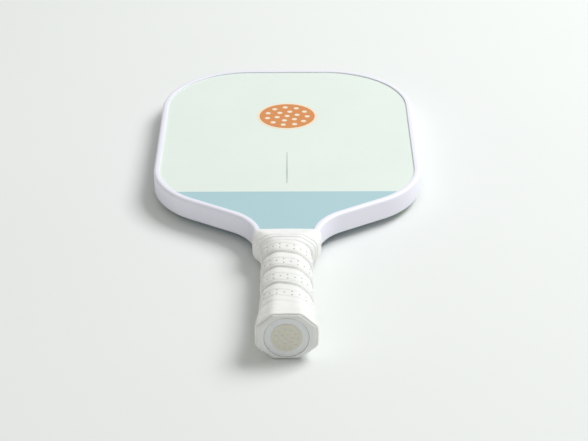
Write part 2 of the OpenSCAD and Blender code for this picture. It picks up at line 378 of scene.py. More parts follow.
def effect(tree, name, vector, **values):
    """Places a shared effect in a material. Returns its outputs."""
    group = bpy.data.node_groups.get(name) or EFFECTS[name]()
    node = tree.nodes.new("ShaderNodeGroup")
    node.node_tree = group
    link(tree, vector, node.inputs["Vector"])
    for label, value in values.items():
        node.inputs[label].default_value = value
    return node.outputs


def new_material(name, **shader_values):
    """A new material, its node tree and its Object coordinates, with the shader's constants set."""
    material = bpy.data.materials.new(name)
    material.use_nodes = True
    tree = material.node_tree
    shader = tree.nodes["Principled BSDF"]
    for label, value in shader_values.items():
        shader.inputs[label.replace("_", " ")].default_value = value
    return material, tree, tree.nodes.new("ShaderNodeTexCoord").outputs["Object"]


def dress(material, tone, roughness, height, distance):
    """Feeds a material's shader, with a bump whose height from 0 to 1 stands for this distance."""
    tree = material.node_tree
    shader = tree.nodes["Principled BSDF"]
    relief = tree.nodes.new("ShaderNodeBump")
    relief.inputs["Strength"].default_value = 1.0
    relief.inputs["Distance"].default_value = distance
    link(tree, height, relief.inputs["Height"])
    link(tree, relief.outputs["Normal"], shader.inputs["Normal"])
    link(tree, tone, shader.inputs["Base Color"])
    link(tree, roughness, shader.inputs["Roughness"])
    return material


def shade(tone, share):
    """A colour made darker or lighter."""
    return tuple(min(1.0, c * share) for c in tone)


def mottle(tree, value, tone, dark, light):
    """A colour that wanders between two shades of a tone."""
    return mix_colour(tree, ramp(tree, value, 0.3, 0.7), shade(tone, dark), shade(tone, light))


# ---- Finishes ----

def ink_material(name, tone):
    """Satin ink over fibreglass: sprayed grain, a trace of the cells beneath, faint scuffs."""
    material, tree, where = new_material(
        name, Specular_IOR_Level=0.4, Coat_Weight=0.06, Coat_Roughness=0.35)
    spray = effect(tree, "Fine grain", where, Grain=1900.0, Mottle=18.0)
    scuffs = effect(tree, "Scuffs", where, Density=0.5)["Mask"]
    walls = ramp(tree, effect(tree, "Honeycomb", where, Cell=0.008)["Edge"], 0.86, 1.0)
    ink = mottle(tree, spray["Mottle"], tone, 0.985, 1.012)
    ink = mix_colour(tree, times(tree, walls, 0.06), ink, shade(tone, 0.9))
    ink = mix_colour(tree, ramp(tree, spray["Height"], 0.62, 0.8, 0.0, 0.12), ink, (1, 1, 1))
    ink = mix_colour(tree, times(tree, scuffs, 0.1), ink, shade(tone, 0.82))
    gloss = plus(tree, ramp(tree, spray["Height"], 0.3, 0.7, 0.4, 0.56), times(tree, scuffs, 0.12))
    height = plus(tree, spray["Height"], times(tree, walls, -0.25))
    return dress(material, ink, gloss, height, 0.00005)


def moulded_material(name, tone, grain=900.0, gloss=(0.3, 0.42), depth=0.00006, coat=0.15):
    """Moulded plastic: fine grain, slow tone changes and faint handling marks."""
    material, tree, where = new_material(
        name, Specular_IOR_Level=0.5, Coat_Weight=coat, Coat_Roughness=0.25,
        Subsurface_Weight=0.04, Subsurface_Radius=(0.004, 0.004, 0.004), Subsurface_Scale=0.3)
    skin = effect(tree, "Fine grain", where, Grain=grain, Mottle=22.0)
    scuffs = effect(tree, "Scuffs", where, Density=0.7)["Mask"]
    plastic = mottle(tree, skin["Mottle"], tone, 0.975, 1.015)
    plastic = mix_colour(tree, times(tree, scuffs, 0.16), plastic, shade(tone, 0.72))
    rough = plus(tree, ramp(tree, skin["Mottle"], 0.3, 0.7, *gloss), times(tree, scuffs, 0.2))
    return dress(material, plastic, rough, skin["Height"], depth)


# The holes of one repeat: share of the pitch along the tape, share of the band across it
HOLE_PATTERN = ((0.0, 0.0), (0.5, 0.27), (0.5, -0.27))


def wrap_material(settings):
    """Matt cushioned tape: leather-like grain, punched holes, and painted shade along the softly
    creased seams, in the embossed lines and in the holes.
    """
    tone = settings.tape
    material, tree, where = new_material(
        "Cushioned wrap", Specular_IOR_Level=0.3, Sheen_Weight=0.12, Sheen_Roughness=0.5,
        Subsurface_Weight=0.08, Subsurface_Radius=(0.003, 0.0028, 0.0025),
        Subsurface_Scale=0.3)
    strip = tree.nodes.new("ShaderNodeUVMap")
    strip.uv_map = "Strip"
    parts = tree.nodes.new("ShaderNodeSeparateXYZ")
    link(tree, strip.outputs["UV"], parts.inputs[0])
    along, across = parts.outputs[0], parts.outputs[1]
    grain = effect(tree, "Fine grain", where, Grain=1500.0, Mottle=55.0)
    pores = tree.nodes.new("ShaderNodeTexVoronoi")
    pores.feature = "DISTANCE_TO_EDGE"
    pores.inputs["Scale"].default_value = 950.0
    link(tree, where, pores.inputs["Vector"])
    leather = ramp(tree, pores.outputs["Distance"], 0.0, 0.22)

    middle = settings.band_start + settings.band_width / 2
    pitch = settings.hole_pitch
    holes = 0.0
    for shift, level in HOLE_PATTERN:
        u = math_node(tree, "WRAP", plus(tree, along, shift * pitch), pitch / 2, -pitch / 2)
        v = math_node(tree, "SUBTRACT", across, middle + level * settings.band_width)
        reach = math_node(tree, "SQRT", plus(tree, times(tree, u, u), times(tree, v, v)))
        hole = ramp(tree, reach, settings.hole * 1.25, settings.hole * 0.55)
        holes = math_node(tree, "MAXIMUM", hole, holes)
    lines = 0.0
    for place in (settings.band_start, settings.band_start + settings.band_width):
        off = math_node(tree, "ABSOLUTE", math_node(tree, "SUBTRACT", across, place))
        lines = math_node(tree, "MAXIMUM", ramp(tree, off, 0.00042, 0.0001), lines)
    # Mask of the painted shade along each seam: 1 at the seam, gone 2.8 mm across the turn
    seam = math_node(tree, "POWER", ramp(tree, across, 0.0028, 0.0), 2.0)

    tape = mottle(tree, grain["Mottle"], tone, 0.975, 1.012)
    # Painted shade: the tape darkened along the seams, where each turn's edge overhangs the next
    tape = mix_colour(tree, times(tree, seam, 0.7), tape, shade(tone, 0.5))
    # Painted shade: the tape darkened in the pressed grooves of the embossed lines
    tape = mix_colour(tree, times(tree, lines, 0.42), tape, shade(tone, 0.6))
    tape = mix_colour(tree, ramp(tree, leather, 0.35, 0.0, 0.0, 0.1), tape, shade(tone, 0.75))
    # Painted shade: the punched holes filled with a dark grey for the shade inside them
    tape = mix_colour(tree, times(tree, holes, 0.75), tape, (0.3, 0.3, 0.29))
    rough = ramp(tree, grain["Mottle"], 0.3, 0.7, 0.5, 0.66)
    skin = plus(tree, times(tree, leather, 0.25), times(tree, grain["Height"], 0.3))
    pressed = math_node(tree, "SUBTRACT", skin, times(tree, lines, 0.5))
    return dress(material, tape, rough, math_node(tree, "SUBTRACT", pressed, holes), 0.00018)


def stretch_tape_material(tone):
    """Matt stretch tape: a fine crossed weave under a thin rubbery coat."""
    material, tree, where = new_material(
        "Stretch tape", Specular_IOR_Level=0.3, Sheen_Weight=0.1, Sheen_Roughness=0.6,
        Subsurface_Weight=0.06, Subsurface_Radius=(0.003, 0.003, 0.003),
        Subsurface_Scale=0.3)
    grain = effect(tree, "Fine grain", where, Grain=1300.0, Mottle=50.0)
    weave = effect(tree, "Weave", where, Strand=0.00055)["Height"]
    tape = mottle(tree, grain["Mottle"], tone, 0.975, 1.01)
    tape = mix_colour(tree, ramp(tree, weave, 0.5, 0.0, 0.0, 0.07), tape, shade(tone, 0.8))
    rough = ramp(tree, grain["Height"], 0.3, 0.7, 0.52, 0.68)
    height = plus(tree, times(tree, weave, 0.4), grain["Height"])
    return dress(material, tape, rough, height, 0.00007)


def core_material():
    """Natural polypropylene: milky, with drawn streaks along the cell walls."""
    material, tree, where = new_material(
        "Core plastic", Specular_IOR_Level=0.45, Subsurface_Weight=0.3,
        Subsurface_Radius=(0.006, 0.006, 0.006), Subsurface_Scale=0.5)
    grain = effect(tree, "Fine grain", where, Grain=700.0, Mottle=60.0)
    streaks = noise_node(tree, vector_node(tree, "MULTIPLY", where, (900.0, 900.0, 40.0)), 1.0)
    tone = mix_colour(tree, ramp(tree, streaks, 0.35, 0.65), (0.72, 0.75, 0.73), (0.86, 0.88, 0.86))
    return dress(material, tone, ramp(tree, grain["Mottle"], 0.3, 0.7, 0.3, 0.45), streaks, 0.00006)


def fleece_material():
    """Bonded nonwoven: fine crossed fibres."""
    material, tree, where = new_material(
        "Fleece", Specular_IOR_Level=0.2, Sheen_Weight=0.3, Sheen_Roughness=0.6)
    layers = [noise_node(tree, vector_node(tree, "MULTIPLY", where, stretch), 1.0, 4.0)
              for stretch in ((2600.0, 260.0, 900.0), (300.0, 2400.0, 900.0))]
    fibres = math_node(tree, "MAXIMUM", *layers)
    tone = mix_colour(tree, ramp(tree, fibres, 0.45, 0.75), (0.62, 0.63, 0.62), (0.88, 0.88, 0.87))
    return dress(material, tone, ramp(tree, fibres, 0.4, 0.8, 0.95, 0.75), fibres, 0.0001)


def fibreglass_material():
    """Woven glass in clear resin: strands under a glossy coat."""
    material, tree, where = new_material(
        "Fibreglass", Specular_IOR_Level=0.5, Coat_Weight=0.5, Coat_Roughness=0.12)
    weave = effect(tree, "Weave", where, Strand=0.0012)["Height"]
    grain = effect(tree, "Fine grain", where, Grain=1200.0, Mottle=30.0)
    tone = mix_colour(tree, ramp(tree, weave, 0.2, 0.8), (0.6, 0.6, 0.5), (0.84, 0.84, 0.76))
    aged = ramp(tree, grain["Mottle"], 0.4, 0.7, 0.0, 0.3)
    tone = mix_colour(tree, aged, tone, (0.78, 0.74, 0.6))
    return dress(material, tone, ramp(tree, grain["Height"], 0.3, 0.7, 0.25, 0.4), weave, 0.00012)


def pallet_material():
    """Planed light wood: long grain lines, darker rings and open pores."""
    material, tree, where = new_material("Pallet wood", Specular_IOR_Level=0.3)
    rings = tree.nodes.new("ShaderNodeTexWave")
    rings.wave_type = "RINGS"
    rings.rings_direction = "Y"
    rings.inputs["Scale"].default_value = 90.0
    rings.inputs["Distortion"].default_value = 3.0
    rings.inputs["Detail"].default_value = 3.0
    link(tree, vector_node(tree, "MULTIPLY", where, (1.0, 0.12, 1.0)), rings.inputs["Vector"])
    pores = noise_node(tree, vector_node(tree, "MULTIPLY", where, (2200.0, 90.0, 2200.0)), 1.0)
    tone = mix_colour(tree, rings.outputs["Fac"], (0.58, 0.4, 0.22), (0.76, 0.6, 0.4))
    tone = mix_colour(tree, ramp(tree, pores, 0.6, 0.72, 0.0, 0.5), tone, (0.36, 0.22, 0.11))
    return dress(material, tone, ramp(tree, pores, 0.3, 0.7, 0.5, 0.72), pores, 0.0001)


def floor_material(tone):
    """Smooth seamless paper with a trace of fibre."""
    material, tree, where = new_material("Stage paper", Specular_IOR_Level=0.25)
    grain = effect(tree, "Fine grain", where, Grain=600.0, Mottle=4.0)
    paper = mottle(tree, grain["Mottle"], tone, 0.992, 1.006)
    rough = ramp(tree, grain["Height"], 0.3, 0.7, 0.6, 0.75)
    return dress(material, paper, rough, grain["Height"], 0.00003)


# ---- Sections of the wrapped pieces ----

# Half widths and half thicknesses, and where along the handle they hold
GRIP_HALF = np.array([0.0172, 0.014])
FLARE_HALF = np.array([0.0199, 0.0165])
RAMP_HALF = np.array([0.0246, 0.0106])
FLARE_END, FLARE_START = 0.0026, 0.044
WRAP_RIM, WRAP_END = 0.0021, 0.1125
RAMP_START, RAMP_END = 0.101, 0.123
# Share of each half size that the octagon's corners cut off
HANDLE_CUT = np.array([0.54, 0.55])
# Powers of the rounded octagon: the higher, the sharper its corners
BUTT_ROUNDNESS, GRIP_ROUNDNESS, THROAT_ROUNDNESS = 26, 12, 24
# How far a sleeve's inside starts from its rim
RIM = 0.0002


def rounded_octagon(angle, half, cut, power):
    """Distance from the handle's axis to its softly cornered section, at angles from the top."""
    across, up = np.sin(angle), np.cos(angle)
    slant = np.array([half[..., 1] * cut[..., 1], half[..., 0] * cut[..., 0]])
    slant = slant / np.hypot(*slant)
    reach = slant[0] * half[..., 0] + slant[1] * half[..., 1] * (1 - cut[..., 1])
    total = (np.abs(across) / half[..., 0]) ** power + (np.abs(up) / half[..., 1]) ** power
    for side in (-1, 1):
        total = total + (np.abs(slant[0] * across + side * slant[1] * up) / reach) ** power
    return total ** (-1 / power)


def grip_half(y):
    """Half sizes of the grip's section at distances y from the butt face."""
    rise = np.clip(1 - (y - FLARE_END) / (FLARE_START - FLARE_END), 0, None) ** 1.5
    ramp_share = np.clip((y - RAMP_START) / (RAMP_END - RAMP_START), 0, 1)
    half = GRIP_HALF + rise[..., None] * (FLARE_HALF - GRIP_HALF)
    return half + ramp_share[..., None] * (RAMP_HALF - GRIP_HALF)


def arc_share(steps):
    """Angles evenly spaced along the grip's section, each one's share of the way round from
    the top, and the length of the way round.
    """
    fine = np.linspace(-math.pi, math.pi, 3601)
    radius = rounded_octagon(fine, GRIP_HALF, HANDLE_CUT, GRIP_ROUNDNESS)
    x, z = radius * np.sin(fine), radius * np.cos(fine)
    way = np.concatenate([[0], np.cumsum(np.hypot(np.diff(x), np.diff(z)))])
    share = np.linspace(-0.5, 0.5, steps, endpoint=False)
    even = np.interp(share * way[-1], way - way[-1] / 2, fine)
    return even, share, way[-1]


def coherent_noise(points, scale, seed):
    """Smooth noise from -1 to 1 at a grid of points, scale in waves per metre."""
    shift = Vector((seed * 7.13, seed * 3.71, seed * 1.97))
    values = [noise.noise(Vector(p) * scale + shift) for p in points.reshape(-1, 3)]
    return np.array(values).reshape(points.shape[:-1])


def ring_points(radius, angle, y):
    """Points at a distance and an angle from the handle's axis, the angle from the top."""
    parts = np.broadcast_arrays(radius * np.sin(angle), y, radius * np.cos(angle))
    return np.stack(parts, -1)


def sleeve_rows(high, low, shown, hidden, far_rim=RIM):
    """Distances down a sleeve's outside and back up its inside, and which are outside."""
    inside = np.linspace(low + RIM, high - far_rim, hidden)
    y = np.concatenate([np.linspace(high, low, shown), inside])
    return y[None, :], np.arange(len(y))[None, :] < shown


def rounded_end(distance, width, depth):
    """How far a rounded edge falls away at a distance from a sleeve's end."""
    inwards = 1 - np.clip(distance / width, 0, 1)
    return depth * (1 - np.sqrt(1 - inwards ** 2))


def shaped_torus(name, points):
    """A torus whose rings are moved to the given points, indexed [around, row].

    The points run clockwise seen from the butt, so they are taken in reverse, which
    keeps the faces pointing outwards.
    """
    around, rows = points.shape[:2]
    deselect_all()
    bpy.ops.mesh.primitive_torus_add(
        major_segments=around, minor_segments=rows, major_radius=0.03, minor_radius=0.01)
    piece = bpy.context.object
    piece.name = name
    piece.data.name = name
    piece.data.vertices.foreach_set("co", points[::-1].reshape(-1).astype(np.float32))
    piece.data.update()
    return piece


# The turns of the wrap: distances from the butt face at which each seam crosses the top, and
# the number of the first one. From the last real seam on, the tape is smooth: its place across
# the strip is shifted past the band, and its edge is fainter by this share.
SEAMS = np.array([0.1485, 0.1281, 0.1078, 0.0875, 0.0671, 0.0458, 0.0204, -0.008, -0.036])
FIRST_SEAM = -2
LAST_SEAM = 4
SMOOTH_SHIFT = 0.04
FAINT = 0.34
# The wrap's relief: how far a turn swells and how wide its fall is, the width of the step down
# to the next turn with its softening, the embossed lines, the raised band, the holes
SWELL, FALL_WIDTH = 0.00016, 0.011
STEP_WIDTH, SOFTENING, SOFT_WIDTH = 0.00055, 0.00016, 0.0014
LINE_DEPTHS, LINE_WIDTH = (0.00042, 0.0002), 0.00042
BAND_RAISE, BAND_OUTSIDE, BAND_INSIDE = 0.0001, 0.0002, 0.0012
HOLE_DEPTH = 0.00042
# Hand-wound unevenness of the wrap, the creases at the flare, the step down under the collar
PUFF, RIPPLE, CREASE, TUCK = 0.00012, 0.00007, 0.00018, 0.0006


def turn_at(y, share):
    """How many turns along the strip a place on the grip is."""
    return np.interp(-y, -SEAMS, np.arange(len(SEAMS)) + FIRST_SEAM) - share


def turn_length(turn):
    """Distance from a turn's seam to the next one, along the grip."""
    gaps = SEAMS[:-1] - SEAMS[1:]
    index = np.clip(np.floor(turn).astype(int) - FIRST_SEAM, 0, len(gaps) - 1)
    return gaps[index]


def smoothstep(value, low, high):
    """0 below low, 1 above high, smooth between them."""
    t = np.clip((value - low) / (high - low), 0, 1)
    return t * t * (3 - 2 * t)


def wrap_height(y, share, along, settings):
    """How far the wrap's surface stands off its plain section."""
    turn = turn_at(y, share)
    gap = turn_length(turn)
    across = (turn - np.floor(turn)) * gap
    to_next = gap - across
    fall = smoothstep(across, 0.0, FALL_WIDTH) - 1
    height = settings.step * (0.5 + np.where(turn < LAST_SEAM, 1.0, FAINT) * fall)
    height += SWELL * np.sin(np.clip(across / gap, 0, 1) * math.pi)
    edge = settings.step * 0.9 * (1 - smoothstep(to_next, 0.0, STEP_WIDTH))
    edge += SOFTENING * (1 - smoothstep(to_next, 0.0, SOFT_WIDTH))
    height -= edge * np.where(turn < LAST_SEAM - 1, 1.0, FAINT)
    across = np.where(turn < LAST_SEAM, across, across + SMOOTH_SHIFT)
    start, end = settings.band_start, settings.band_start + settings.band_width
    for place, depth in zip((start, end), LINE_DEPTHS):
        height -= depth * np.exp(-(((across - place) / LINE_WIDTH) ** 2))
    in_band = smoothstep(across, start - BAND_OUTSIDE, start + BAND_INSIDE)
    in_band *= 1 - smoothstep(across, end - BAND_INSIDE, end + BAND_OUTSIDE)
    height += BAND_RAISE * in_band
    middle = start + settings.band_width / 2
    pitch = settings.hole_pitch
    for shift, level in HOLE_PATTERN:
        u = (along + shift * pitch + pitch / 2) % pitch - pitch / 2
        v = across - middle - level * settings.band_width
        height -= HOLE_DEPTH * np.exp(-((u * u + v * v) / settings.hole ** 2) ** 1.5)
    return height


def map_strip(piece, angle, share, perimeter):
    """Maps a level sleeve as the flat strip it was wound from: metres along, metres across."""
    strip = piece.data.uv_layers.new(name="Strip")
    co = np.zeros(len(piece.data.vertices) * 3, np.float32)
    piece.data.vertices.foreach_get("co", co)
    co = co.reshape(-1, 3).astype(float)
    corner_vertex = np.zeros(len(piece.data.loops), np.int32)
    piece.data.loops.foreach_get("vertex_index", corner_vertex)
    face_of_corner = np.repeat(np.arange(len(piece.data.polygons)), 4)
    corner = co[corner_vertex]
    corner_angle = np.arctan2(corner[:, 0], corner[:, 2])
    fine_share = np.interp(corner_angle, angle, share)
    middle = corner.reshape(-1, 4, 3).mean(1)
    middle_angle = np.arctan2(middle[:, 0], middle[:, 2])
    middle_share = np.interp(middle_angle, angle, share)
    fine_share += np.round(middle_share[face_of_corner] - fine_share)
    whole = np.floor(turn_at(middle[:, 1], middle_share))[face_of_corner]
    corner_turn = turn_at(corner[:, 1], fine_share)
    across = (corner_turn - whole) * turn_length(whole + 0.5)
    across += np.where(whole < LAST_SEAM, 0, SMOOTH_SHIFT)
    uv = np.stack([(fine_share + whole) * perimeter, across], -1)
    strip.data.foreach_set("uv", uv.reshape(-1).astype(np.float32))


def build_grip_wrap(settings, material):
    """The cushioned tape: a closed sleeve whose surface carries the turns of the spiral."""
    angle, share, perimeter = arc_share(252)
    y, outer = sleeve_rows(WRAP_END, WRAP_RIM, 243, 12)
    around, way = angle[:, None], share[:, None]
    softness = smoothstep(y, 0.006, 0.04)
    power = BUTT_ROUNDNESS + softness * (GRIP_ROUNDNESS - BUTT_ROUNDNESS)
    radius = rounded_octagon(around, grip_half(y), HANDLE_CUT, power)
    along = (way + np.floor(turn_at(y, way))) * perimeter
    height = wrap_height(y, way, along, settings)

    level = ring_points(radius, around, y)
    puff = coherent_noise(level, 110.0, 1)
    ripple = coherent_noise(level * np.array([1.0, 2.6, 1.0]), 260.0, 2)
    height = height + PUFF * puff + RIPPLE * ripple
    flare = smoothstep(0.026 - y, 0.0, 0.012)
    crease = np.sin((y * 1000 - 5.5 * np.sin(around) + 1.6 * puff) * 1.25)
    side = np.abs(np.sin(around)) ** 1.5
    height += flare * CREASE * crease * (0.25 + side)
    height -= TUCK * smoothstep(y, 0.1045, 0.1065)
    height -= rounded_end(y - WRAP_RIM, 0.0007, 0.0005)
    final = radius + np.where(outer, height, -settings.thickness)
    piece = shaped_torus("grip_wrap", ring_points(final, around, y))
    map_strip(piece, angle, share, perimeter)
    finish_piece(piece, 60, material, "grip_cushion", "grip_tape")


# The collar's section at six distances from the butt face, and the layers that show as edges:
# where each starts at the top, how far it slants per half turn, and its share of a layer
COLLAR_STATIONS = np.array([0.1045, 0.1062, 0.109, 0.116, 0.1215, 0.126])
COLLAR_HALF = np.array([[18.8, 14.2], [20.0, 14.4], [21.0, 14.35],
                        [23.5, 12.7], [23.8, 11.0], [23.8, 9.7]]) * MM
COLLAR_CUT = np.array([[0.54, 0.55], [0.52, 0.54], [0.5, 0.53],
                       [0.32, 0.44], [0.2, 0.33], [0.12, 0.24]])
COLLAR_LAYERS = ((0.1082, 0.0021, 0.85), (0.1112, 0.0028, 0.7), (0.1166, 0.0016, 0.35))
# Folds in the collar's surface and how far they shift a layer's edge, its rounding and crease
FOLD, FOLD_SHIFT, LAYER_EDGE, LAYER_CREASE = 0.0001, 0.0004, 0.0006, 0.00022


def build_collar_wrap(settings, material):
    """The collar: layers of stretch tape drawn from the round of the grip to the flat throat."""
    low, high = COLLAR_STATIONS[0], COLLAR_STATIONS[-1]
    angle = arc_share(224)[0][:, None]
    y, outer = sleeve_rows(high, low, 96, 10, 0.0001)
    half, cut = (np.stack([np.interp(y, COLLAR_STATIONS, sizes[:, i]) for i in (0, 1)], -1)
                 for sizes in (COLLAR_HALF, COLLAR_CUT))
    power = GRIP_ROUNDNESS + smoothstep(y, 0.108, 0.12) * (THROAT_ROUNDNESS - GRIP_ROUNDNESS)
    radius = rounded_octagon(angle, half, cut, power)
    folds = coherent_noise(ring_points(radius, angle, y), 120.0, 5)
    height = FOLD * folds
    for start, tilt, depth in COLLAR_LAYERS:
        edge = start - tilt * angle / math.pi + FOLD_SHIFT * folds
        height += settings.thickness * depth * (smoothstep(y, edge, edge + LAYER_EDGE) - 0.6)
        height -= LAYER_CREASE * depth * np.exp(-(((y - edge + 0.0001) / 0.00032) ** 2))
    height += 0.00008 * np.sin(9 * angle + 260 * y) * smoothstep(0.118 - y, 0.0, 0.006)
    wall = 0.0009 + 0.0013 * smoothstep(y, 0.116, 0.1255) * (np.abs(np.cos(angle)) > 0.45)
    height -= rounded_end(high - y, 0.0006, 0.0004) + rounded_end(y - low, 0.0007, 0.0005)
    final = radius + np.where(outer, height, -wall)
    piece = shaped_torus("collar_wrap", ring_points(final, angle, y))
    finish_piece(piece, 60, material, "collar_tape", "collar_band")


# ---- Butt cap ----

PLATE_HALF = np.array([float(CAP_HIGH[0]), float(CAP_HIGH[2])])
PLATE_BEVEL = 0.0022
PLATE_BACK = 0.0016
GROOVE = 0.0004
SOCKET_HALF = np.array([0.01572, 0.01252])
SOCKET_FLOOR, CAP_SOCKET_END = 0.004, 0.04
SKIRT_UNDER_WRAP = 0.0016
BADGE_RADIUS = float(BADGE_HIGH[0])
BADGE_GAP = 0.00025


def octagon(y, half, grow=0.0):
    """Corners of the handle's octagon at a distance y from the butt face."""
    w, h = half[0] + grow, half[1] + grow
    x, z = w * (1 - HANDLE_CUT[0]), h * (1 - HANDLE_CUT[1])
    return [Vector((a, y, b)) for a, b in
            ((w, z), (x, h), (-x, h), (-w, z), (-w, -z), (-x, -h), (x, -h), (w, -z))]


def select_edges(piece, chosen):
    """In edit mode, selects the edges whose two ends both pass a test."""
    bpy.ops.object.mode_set(mode="OBJECT")
    mesh = piece.data
    for items in (mesh.vertices, mesh.edges, mesh.polygons):
        items.foreach_set("select", np.zeros(len(items), bool))
    for edge in mesh.edges:
        edge.select = all(chosen(mesh.vertices[i].co) for i in edge.vertices)
    bpy.ops.object.mode_set(mode="EDIT")
    bpy.ops.mesh.select_mode(type="EDGE")


def extrude_octagons(piece, rings):
    """Carries the selected octagon through a list of rings, one extrusion each."""
    for ring in rings:
        bpy.ops.object.mode_set(mode="EDIT")
        bpy.ops.mesh.extrude_region_move()
        bpy.ops.object.mode_set(mode="OBJECT")
        moved = [v for v in piece.data.vertices if v.select]
        for vertex, place in zip(moved, ring):
            vertex.co = place


def build_cap(settings, material):
    """The end plate with its bevel and groove, the skirt under the wrap and the socket."""
    deselect_all()
    bpy.ops.mesh.primitive_circle_add(vertices=8, fill_type="NGON")
    piece = bpy.context.object
    piece.name = "butt_cap_moulding"
    for vertex, place in zip(piece.data.vertices, octagon(0, PLATE_HALF, -PLATE_BEVEL)):
        vertex.co = place
    skirt = [octagon(y, grip_half(np.array([y]))[0], -SKIRT_UNDER_WRAP)
             for y in np.linspace(FLARE_END, CAP_SOCKET_END, 6)]
    extrude_octagons(piece, [
        octagon(PLATE_BACK / 2, PLATE_HALF), octagon(PLATE_BACK, PLATE_HALF),
        octagon(PLATE_BACK, PLATE_HALF, -GROOVE), octagon(WRAP_RIM, PLATE_HALF, -GROOVE),
        *skirt, octagon(CAP_SOCKET_END, SOCKET_HALF), octagon(SOCKET_FLOOR, SOCKET_HALF)])
    tidy_mesh(piece)
    select_edges(piece, lambda co: co.y < PLATE_BACK + 0.0001 and abs(co.x) + abs(co.z) > 0.02)
    bpy.ops.mesh.bevel(offset=settings.edge, segments=3)
    bpy.ops.object.mode_set(mode="OBJECT")
    bpy.ops.mesh.primitive_cylinder_add(
        vertices=96, radius=BADGE_RADIUS + BADGE_GAP, depth=0.002, rotation=(math.pi / 2, 0, 0))
    cutter = bpy.context.object
    select_only(piece)
    recess = piece.modifiers.new("Badge recess", "BOOLEAN")
    recess.object = cutter
    recess.solver = "EXACT"
    bpy.ops.object.modifier_apply(modifier=recess.name)
    bpy.data.objects.remove(cutter)
    finish_piece(piece, 30, material, "cap_rubber", "butt_cap")


def build_badge(settings, material):
    """The round badge let into the end plate, with a fine raised rim."""
    front, back = float(BADGE_LOW[1]), float(BADGE_HIGH[1])
    deselect_all()
    bpy.ops.mesh.primitive_cylinder_add(
        vertices=96, radius=BADGE_RADIUS, depth=back - front,
        location=(0, (front + back) / 2, 0), rotation=(math.pi / 2, 0, 0))
    piece = bpy.context.object
    piece.name = "badge_plate"
    bpy.ops.object.transform_apply(location=True, rotation=True, scale=True)
    bpy.ops.object.mode_set(mode="EDIT")
    bpy.ops.mesh.select_mode(type="FACE")
    bpy.ops.object.mode_set(mode="OBJECT")
    for face in piece.data.polygons:
        face.select = face.normal.y < -0.9
    bpy.ops.object.mode_set(mode="EDIT")
    bpy.ops.mesh.inset(thickness=0.0009, depth=0)
    bpy.ops.mesh.inset(thickness=0.0003, depth=-0.0002)
    bpy.ops.object.mode_set(mode="OBJECT")
    add_bevel(piece, settings.edge * 0.35, 2, 40)
    finish_piece(piece, 30, material, "badge_plastic", "badge_disc")


# ---- Edge guard ----

# Half width of the neck, radii of the throat's, heel's and tip's curves, slope of the shoulders
NECK_HALF, THROAT_RADIUS, HEEL_RADIUS, TIP_RADIUS = 0.0227, 0.036, 0.062, 0.07
SHOULDER_DEGREES = 58
HEEL_Y = 0.224
FLOOR_GAP = 0.00003


def guard_section(settings):
    """Outline of the guard's U-shaped section: distance in from the outer edge, and height."""
    top = float(GUARD_HIGH[2]) - FLOOR_GAP
    lip, corner = settings.edge, settings.corner
    half = [(settings.wall, FACE_TOP)]
    half += [(settings.reach - lip * (1 - math.cos(a)), FACE_TOP + lip * (1 - math.sin(a)))
             for a in np.linspace(math.pi / 2, 0, 3)]
    half += [(settings.reach - lip * (1 - math.cos(a)), top - lip * (1 - math.sin(a)))
             for a in np.linspace(0, math.pi / 2, 4)]
    half += [(corner * (1 - math.sin(a)), top - corner * (1 - math.cos(a)))
             for a in np.linspace(0, math.pi / 2, 6)]
    return half + [(x, -z) for x, z in reversed(half)]


def spin_last(centre, degrees, steps):
    """Carries the selected end face round a centre, anticlockwise seen from above."""
    bpy.ops.mesh.spin(steps=steps, angle=math.radians(-degrees),
                      center=(centre[0], centre[1], 0), axis=(0, 0, 1))


def push_last(x, y):
    """Carries the selected end face along a straight run."""
    bpy.ops.mesh.extrude_region_move(TRANSFORM_OT_translate={"value": (x, y, 0)})


def build_edge_guard(settings, material):
    """The guard: its section carried round the right half of the blade, then mirrored."""
    half_width, tip, start = float(GUARD_HIGH[0]), float(GUARD_HIGH[1]), float(GUARD_LOW[1])
    slope = math.radians(90 - SHOULDER_DEGREES)
    radii = HEEL_RADIUS + THROAT_RADIUS
    heel = Vector((half_width - HEEL_RADIUS, HEEL_Y))
    throat_x = NECK_HALF + THROAT_RADIUS
    throat = Vector((throat_x, heel.y - ((heel.x - throat_x) * math.sin(slope) + radii)
                     / math.cos(slope)))
    run = math.sqrt((heel - throat).length_squared - radii ** 2)
    section = guard_section(settings)
    deselect_all()
    bpy.ops.mesh.primitive_circle_add(vertices=len(section), fill_type="NGON")
    piece = bpy.context.object
    piece.name = "edge_guard_strip"
    for vertex, (inwards, z) in zip(piece.data.vertices, section):
        vertex.co = (NECK_HALF - inwards, start, z)
    bpy.ops.object.mode_set(mode="EDIT")
    bpy.ops.mesh.select_all(action="SELECT")
    push_last(0, throat.y - start)
    spin_last(throat, -SHOULDER_DEGREES, 22)
    push_last(run * math.cos(slope), run * math.sin(slope))
    spin_last(heel, SHOULDER_DEGREES, 30)
    push_last(0, tip - TIP_RADIUS - heel.y)
    spin_last((half_width - TIP_RADIUS, tip - TIP_RADIUS), 90, 40)
    push_last(TIP_RADIUS - half_width, 0)
    bpy.ops.mesh.delete(type="ONLY_FACE")
    bpy.ops.object.mode_set(mode="OBJECT")
    mirror = piece.modifiers.new("Left half", "MIRROR")
    mirror.use_clip = True
    mirror.merge_threshold = 1e-5
    bpy.ops.object.modifier_apply(modifier=mirror.name)
    tidy_mesh(piece)
    finish_piece(piece, 40, material, "guard_plastic", "edge_guard")


# ---- Operators ----

class PaddleOperator:
    """What every operator here shares."""
    bl_options = {"REGISTER", "UNDO"}


